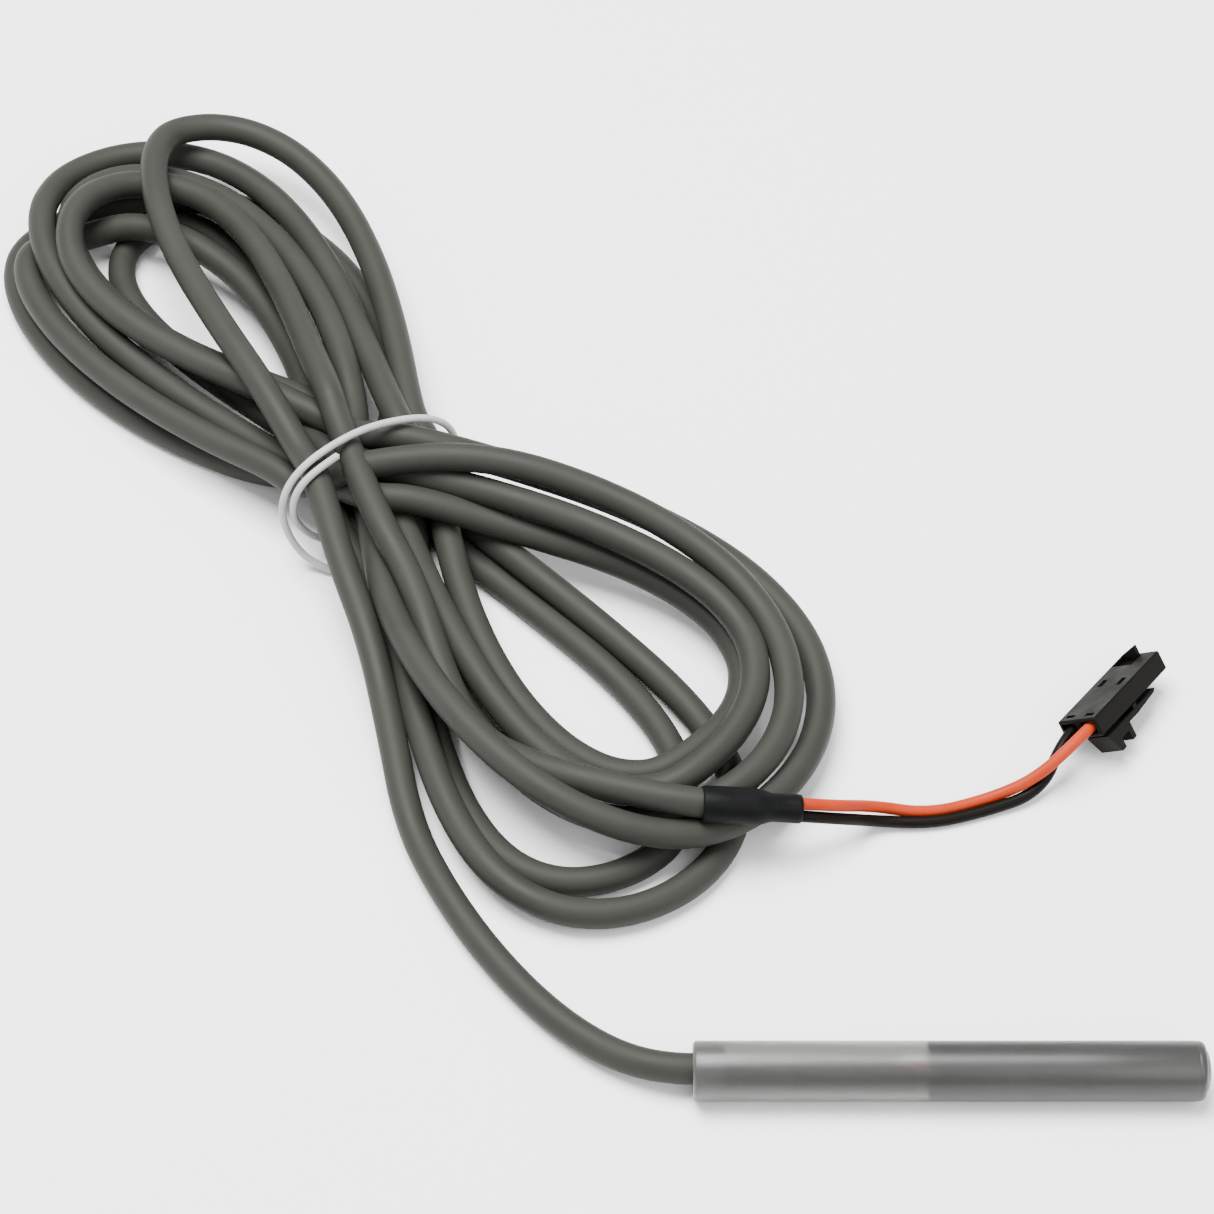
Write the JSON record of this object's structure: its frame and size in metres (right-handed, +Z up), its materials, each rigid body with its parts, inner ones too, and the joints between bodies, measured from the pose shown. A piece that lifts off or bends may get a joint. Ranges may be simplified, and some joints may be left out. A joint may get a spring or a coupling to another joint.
{
  "type": "temperature probe",
  "caption": "Round plastic temperature probe with a grey two-core lead tied in a figure-of-eight hank, ending in a heat-shrink sleeve and a black latching plug.",
  "frame": {"origin": "on the surface the part lies on, under the middle of the probe", "axes": "+X along the probe towards its closed end, +Y towards the hank, +Z up"},
  "size_m": [0.2062, 0.2257, 0.021],
  "materials": {
    "sheath": "frosted translucent",
    "seal": "cloudy sealant",
    "potting": "matt grey resin",
    "cable_jacket": "matt PVC jacket",
    "orange_insulation": "smooth insulation",
    "black_insulation": "smooth insulation",
    "copper": "bare stranded copper",
    "tinned_metal": "tin plated",
    "clear_sleeving": "thin translucent sleeving",
    "bead_epoxy": "dipped epoxy",
    "tie_plastic": "smooth white coating",
    "tie_steel": "annealed wire",
    "heat_shrink": "satin polyolefin",
    "connector_plastic": "moulded nylon"
  },
  "bodies": {
    "root": {"probe_sheath": "sheath", "entry_seal": "seal", "cable_jacket_end": "cable_jacket", "probe_potting": "potting", "core_orange": "orange_insulation", "core_black": "black_insulation", "core_copper_orange": "copper", "core_copper_black": "copper", "splice_ferrule_orange": "tinned_metal", "splice_ferrule_black": "tinned_metal", "splice_sleeving_orange": "clear_sleeving", "splice_sleeving_black": "clear_sleeving", "thermistor_lead_orange": "tinned_metal", "thermistor_lead_black": "tinned_metal", "thermistor_bead": "bead_epoxy", "probe_tail": "cable_jacket", "cable_hank": "cable_jacket", "cable_run": "cable_jacket", "cable_end": "cable_jacket", "tie_coating": "tie_plastic", "tie_wire": "tie_steel", "heat_shrink_sleeve": "heat_shrink", "orange_lead": "orange_insulation", "black_lead": "black_insulation", "lead_copper_orange": "copper", "lead_copper_black": "copper", "connector_housing": "connector_plastic", "terminal_orange": "tinned_metal", "terminal_black": "tinned_metal"},
    "latch": {"latch_lever": "connector_plastic"}
  },
  "joints": [
    {"name": "latch_rock", "type": "hinge", "parent": "root", "child": "latch", "pos_m": [0.03271, 0.07241, 0.00488], "axis": [-0.6757, 0.3815, -0.6308], "range_deg": [0, 4], "stiffness_Nm_per_rad": 0.2}
  ]
}
